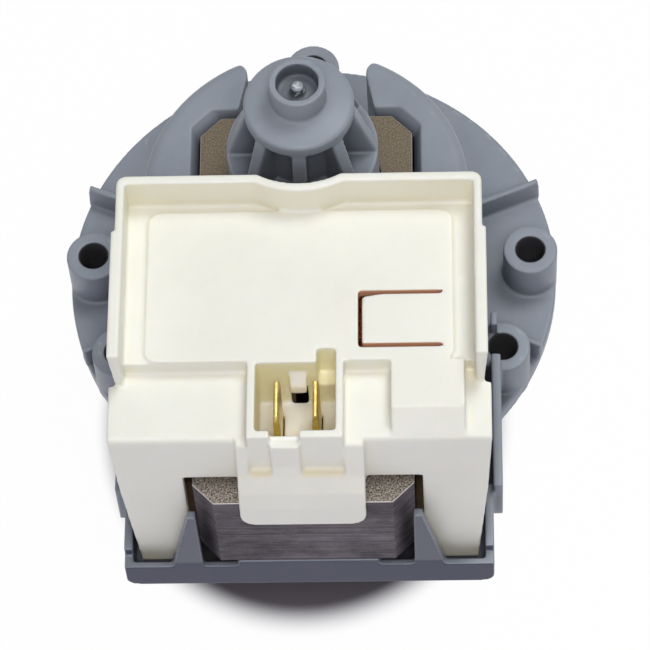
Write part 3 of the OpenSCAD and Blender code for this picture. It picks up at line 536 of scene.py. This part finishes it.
def cutAway(piece, cutter):
    bpy.context.scene.collection.objects.link(cutter)
    cut = piece.modifiers.new("cut", "BOOLEAN")
    cut.operation = "DIFFERENCE"
    cut.solver = "EXACT"
    cut.object = cutter
    whole = piece.data
    piece.data = settled(piece)
    piece.modifiers.remove(cut)
    bpy.data.meshes.remove(whole)
    bpy.data.objects.remove(cutter)


cutAway(cover, slitCutter(slitForm))
print("slit cut, faces of the cover:", len(cover.data.polygons))

# the stack of laminations: the solid core pressed flat, sheet by sheet
stackForm = {"sheets": 35, "gap": 0.04, "shift": 0.02, "edge": 0.08, "edgeAngle": 40,
             "weld": 0.0001, "flat": 0.02}


def laminations(form):
    source = nodes["stator_core"].data
    low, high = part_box("stator_core")
    pitch = (high.z - low.z) / form["sheets"]
    thick = pitch - form["gap"] * mm
    shape = bmesh.new()
    for i in range(form["sheets"]):
        start = len(shape.verts)
        shape.from_mesh(source)
        shape.verts.ensure_lookup_table()
        slide = Vector((random.uniform(-1, 1), random.uniform(-1, 1), 0)) * form["shift"] * mm
        for vertex in shape.verts[start:]:
            share = (vertex.co.z - low.z) / (high.z - low.z)
            vertex.co.z = low.z + i * pitch + (pitch - thick) / 2 + share * thick
            vertex.co += slide
    mesh = bpy.data.meshes.new("coreSheets")
    bmesh.ops.remove_doubles(shape, verts=shape.verts, dist=form["weld"] * mm)
    bmesh.ops.dissolve_limit(shape, angle_limit=form["flat"], verts=shape.verts, edges=shape.edges)
    shape.to_mesh(mesh)
    shape.free()
    return mesh


core = newPiece("coreLaminations", laminations(stackForm), laminationSteel,
                "stator_core")
for face in core.data.polygons:
    face.use_smooth = False
softEdge = core.modifiers.new("softEdge", "BEVEL")
softEdge.width = stackForm["edge"] * mm
softEdge.segments = 1
softEdge.limit_method = "ANGLE"
softEdge.angle_limit = math.radians(stackForm["edgeAngle"])
print("laminations made")

# each coil: an inner block with its outer layer of turns laid over it
coilForm = {"wire": 0.40, "pitch": 0.42, "corner": 2.5, "sides": 6, "cornerSteps": 5, "sink": 0.16,
            "wander": 0.03, "wanderStep": 0.31, "wanderRow": 0.5,
            "wanderSeed": {"left_winding": 2.5, "right_winding": 7.5}, "boreX": 0.30, "boreZ": 0.40}


def coilTurns(node, form):
    low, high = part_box(node)
    corner = form["corner"] * mm
    wireR = form["wire"] * mm / 2
    inset = form["sink"] * mm
    right, left = high.x - inset, low.x + inset
    top, bottom = high.z - inset, low.z + inset
    start, end = low.y + wireR, high.y - wireR
    turns = int((end - start) / (form["pitch"] * mm))
    around = []
    for mid, begin in (((right - corner, bottom + corner), -90), ((right - corner, top - corner), 0),
                       ((left + corner, top - corner), 90), ((left + corner, bottom + corner), 180)):
        for k in range(form["cornerSteps"] + 1):
            angle = math.radians(begin + 90 * k / form["cornerSteps"])
            out = Vector((math.cos(angle), 0, math.sin(angle)))
            around.append((Vector((mid[0], 0, mid[1])) + out * corner, out))
    count = turns * len(around)
    shape = bmesh.new()
    rings = []
    for i in range(count):
        point, out = around[i % len(around)]
        place = Vector((i * form["wanderStep"], form["wanderRow"], form["wanderSeed"][node]))
        wander = noise.noise(place) * form["wander"] * mm
        y = start + (end - start) * i / (count - 1) + wander
        middle = Vector((point.x, y, point.z)) + out * wander
        ring = []
        for s in range(form["sides"]):
            angle = 2 * math.pi * s / form["sides"]
            ring.append(shape.verts.new(middle + out * wireR * math.cos(angle)
                                        + Vector((0, wireR * math.sin(angle), 0))))
        rings.append(ring)
    for first, second in zip(rings, rings[1:]):
        for s in range(form["sides"]):
            t = (s + 1) % form["sides"]
            shape.faces.new((first[s], first[t], second[t], second[s]))
    shape.faces.new(rings[0])
    shape.faces.new(list(reversed(rings[-1])))
    firstBlock = len(shape.verts)
    shape.from_mesh(nodes[node].data)
    shape.verts.ensure_lookup_table()
    mid, size = (low + high) / 2, high - low
    for vertex in shape.verts[firstBlock:]:
        # the block shrinks under the turns, its bore stays
        off = vertex.co - mid
        if abs(off.x) > form["boreX"] * size.x or abs(off.z) > form["boreZ"] * size.z:
            vertex.co.x -= math.copysign(inset, off.x)
            vertex.co.z -= math.copysign(inset, off.z)
    bmesh.ops.recalc_face_normals(shape, faces=shape.faces)
    mesh = bpy.data.meshes.new(node + "Turns")
    shape.to_mesh(mesh)
    shape.free()
    return mesh


for side in ("left", "right"):
    winding = side + "_winding"
    newPiece(side + "CoilTurns", coilTurns(winding, coilForm), copperWire, winding)
print("coils wound")

# tab blades: bevelled towards the tip on all four sides
bladeForm = {"tipLength": 1.25, "tipWidth": 0.79, "tipThick": 0.42, "round": 0.07}


def tabBlade(node, form):
    low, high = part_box(node)
    mid = (low + high) / 2
    half = (high - low) / 2
    levels = ((low.z, 1.0, 1.0), (high.z - form["tipLength"] * mm, 1.0, 1.0),
              (high.z, form["tipThick"], form["tipWidth"]))
    shape = bmesh.new()
    rings = []
    for z, thick, width in levels:
        rings.append([shape.verts.new((mid.x + sx * half.x * thick, mid.y + sy * half.y * width, z))
                      for sx, sy in ((-1, -1), (1, -1), (1, 1), (-1, 1))])
    for first, second in zip(rings, rings[1:]):
        for s in range(4):
            t = (s + 1) % 4
            shape.faces.new((first[s], first[t], second[t], second[s]))
    shape.faces.new(rings[-1])
    shape.faces.new(list(reversed(rings[0])))
    mesh = bpy.data.meshes.new(node + "Blade")
    shape.to_mesh(mesh)
    shape.free()
    return mesh


for side in ("left", "right"):
    blade = newPiece(side + "TabBlade", tabBlade(side + "_terminal", bladeForm), tabBrass,
                     side + "_terminal")
    rounding = blade.modifiers.new("rounding", "BEVEL")
    rounding.width = bladeForm["round"] * mm
    rounding.segments = 2
    rounding.harden_normals = True
print("tabs made")

# torn sprue in the tower's collar
nubForm = {"radius": 0.86, "height": 52.3, "stretch": 1.3, "ragged": 0.26, "seed": 8.2, "fineness": 4,
           "lump": 1.9, "chip": 5.3, "chipShare": 0.3}


def tornSprue(form):
    shape = bmesh.new()
    bmesh.ops.create_icosphere(shape, subdivisions=form["fineness"], radius=1.0)
    for vertex in shape.verts:
        push = 1 + form["ragged"] * noise.noise(vertex.co * form["lump"] + Vector((form["seed"], 0, 0)))
        push += form["chipShare"] * form["ragged"] * noise.noise(vertex.co * form["chip"])
        vertex.co = vertex.co * push * form["radius"] * mm
        vertex.co.z = vertex.co.z * form["stretch"] + form["height"] * mm
    mesh = bpy.data.meshes.new("tornSprue")
    shape.to_mesh(mesh)
    shape.free()
    return mesh


newPiece("tornSprueNub", tornSprue(nubForm), tornNub, None)

# the solids that keep their CAD shape get a finish
plainNodes = {"left_bobbin": bobbinDark, "right_bobbin": bobbinDark, "rear_bearing": bearingCarbon,
              "front_bearing": bearingCarbon, "rear_grommet": blackRubber, "front_grommet": blackRubber,
              "bearing_carrier": mouldedWhite, "carrier_o_ring": blackRubber, "lip_seal": blackRubber,
              "flange_o_ring": blackRubber, "shaft": groundSteel, "rotor_magnet": magnetFerrite,
              "rotor_hub": mouldedWhite, "rear_washer": groundSteel, "front_washer": groundSteel,
              "drive_dog": mouldedWhite, "impeller_cap": mouldedWhite, "stop_bumper": blackRubber}


def finishSolid(name, material):
    piece = nodes[name]
    dress(piece, material)
    for face in piece.data.polygons:
        face.use_smooth = True


for name, material in plainNodes.items():
    finishSolid(name, material)
print("plain solids finished:", len(plainNodes))

# stage
stageForm = {"size": 3.0, "colour": rgb(0.80, 0.78, 0.86), "whiteShare": 0.98, "shadowMiddle": (-2.3, -10),
             "shadowHalf": (31, 35.4), "shadowFrom": 0.84, "shadowTo": 1.0,
             "shade": rgb(0.13, 0.117, 0.135),
             "speckle": 40.0, "speckleShare": 0.04, "speckleColour": rgb(0.78, 0.78, 0.78)}


def rayShare(f, share):
    # the share of white that the camera sees, straight or in metal and clear pieces
    seen = None
    for name in ("Is Camera Ray", "Is Glossy Ray", "Is Transmission Ray"):
        ray = f.node("ShaderNodeLightPath", {}, {}, name)
        seen = ray if seen is None else seen.larger(ray)
    return seen * share


def paleFloor(form):
    # white to the eye, with a painted shadow: dark and matt under the part, where its shadow lies
    f = Finish("paleFloor")
    f.tree.nodes.remove(f.tree.nodes["Principled BSDF"])
    speckle = f.grain(form["speckle"])
    colour = f.blend(speckle * form["speckleShare"], form["colour"], form["speckleColour"])
    glow = f.node("ShaderNodeEmission", {}, {"Color": rgb(1, 1, 1), "Strength": 1.0})
    middleX, middleY = form["shadowMiddle"]
    halfX, halfY = form["shadowHalf"]
    moved = f.vector("SUBTRACT", f.coords(), (middleX * mm, middleY * mm, cadBox[0].z))
    shaped = f.vector("DIVIDE", moved, (halfX * mm, halfY * mm, 1.0))
    along, across = [abs(f.axis(shaped, name)) for name in "XY"]
    away = (along ** 2 + across ** 2) ** 0.5
    outside = f.node("ShaderNodeMapRange", {"interpolation_type": "SMOOTHSTEP"},
                     {"Value": away, "From Min": form["shadowFrom"], "From Max": form["shadowTo"]})
    # painted shadow: inside the ellipse the floor's colour is the shade colour
    matt = f.node("ShaderNodeBsdfDiffuse", {}, {"Color": f.blend(outside, form["shade"], colour)})
    mixed = f.node("ShaderNodeMixShader", {}, [rayShare(f, form["whiteShare"]) * outside, matt, glow])
    f.plug(f.tree.nodes["Material Output"].inputs["Surface"], mixed)
    return f.owner


def layFloor(form):
    half = form["size"] / 2
    low = cadBox[0].z
    mesh = bpy.data.meshes.new("floor")
    mesh.from_pydata([(-half, -half, low), (half, -half, low), (half, half, low), (-half, half, low)], [],
                     [(0, 1, 2, 3)])
    floor = bpy.data.objects.new("floor", mesh)
    bpy.context.scene.collection.objects.link(floor)
    dress(floor, paleFloor(form))


layFloor(stageForm)

skyForm = {"strength": 0.21, "colour": rgb(0.985, 0.99, 1.0)}


def studioSky(form):
    f = Finish("studioSky", world=True)
    back = f.tree.nodes["Background"]
    back.inputs["Color"].default_value = form["colour"]
    f.plug(back.inputs["Strength"], form["strength"] + rayShare(f, 1.0) * (1.0 - form["strength"]))
    bpy.context.scene.world = f.owner


studioSky(skyForm)

topSoftbox = {"name": "topSoftbox", "place": (0.24, 0.25, 0.78), "aim": (0, -0.01, 0.02),
              "size": (0.28, 0.28), "watts": 2.75, "colour": (0.97, 1.0, 0.985)}
cameraSoftbox = {"name": "cameraSoftbox", "place": (0.06, -0.42, 0.78), "aim": (0, -0.02, 0.03),
                 "size": (0.30, 0.26), "watts": 3.3, "colour": (1.0, 0.985, 0.98)}
frontFill = {"name": "frontFill", "place": (-0.30, -0.75, 0.25), "aim": (0, -0.03, 0.02),
             "size": (0.50, 0.40), "watts": 0.6, "colour": (0.90, 0.89, 1.0)}


def hangLamp(form):
    lamp = bpy.data.lights.new(form["name"], "AREA")
    lamp.shape = "RECTANGLE"
    lamp.size, lamp.size_y = form["size"]
    lamp.energy = form["watts"]
    lamp.color = form["colour"]
    holder = bpy.data.objects.new(form["name"], lamp)
    holder.location = form["place"]
    toAim = Vector(form["aim"]) - Vector(form["place"])
    holder.rotation_euler = toAim.to_track_quat("-Z", "Y").to_euler()
    bpy.context.scene.collection.objects.link(holder)


for form in (topSoftbox, cameraSoftbox, frontFill):
    hangLamp(form)

# the photograph's camera, solved from the flange, the bosses and the tabs
cameraForm = {"place": (20.746, -254.769, 456.466), "right": (0.999221, 0.005201, -0.039111),
              "up": (0.014104, 0.878691, 0.477182), "back": (0.036848, -0.477363, 0.877933), "lens": 203.13,
              "sensor": 36, "near": 0.01, "far": 20}


def setCamera(form):
    lens = bpy.data.cameras.new("photoCamera")
    lens.lens = form["lens"]
    lens.sensor_width = form["sensor"]
    lens.clip_start = form["near"]
    lens.clip_end = form["far"]
    holder = bpy.data.objects.new("photoCamera", lens)
    turn = Matrix((form["right"], form["up"], form["back"])).transposed()
    holder.matrix_world = Matrix.Translation(Vector(form["place"]) * mm) @ turn.to_4x4()
    bpy.context.scene.collection.objects.link(holder)
    bpy.context.scene.camera = holder


setCamera(cameraForm)
bpy.context.scene.view_settings.view_transform = "Standard"
print("stage, lamps and camera set")

bpy.context.view_layer.update()
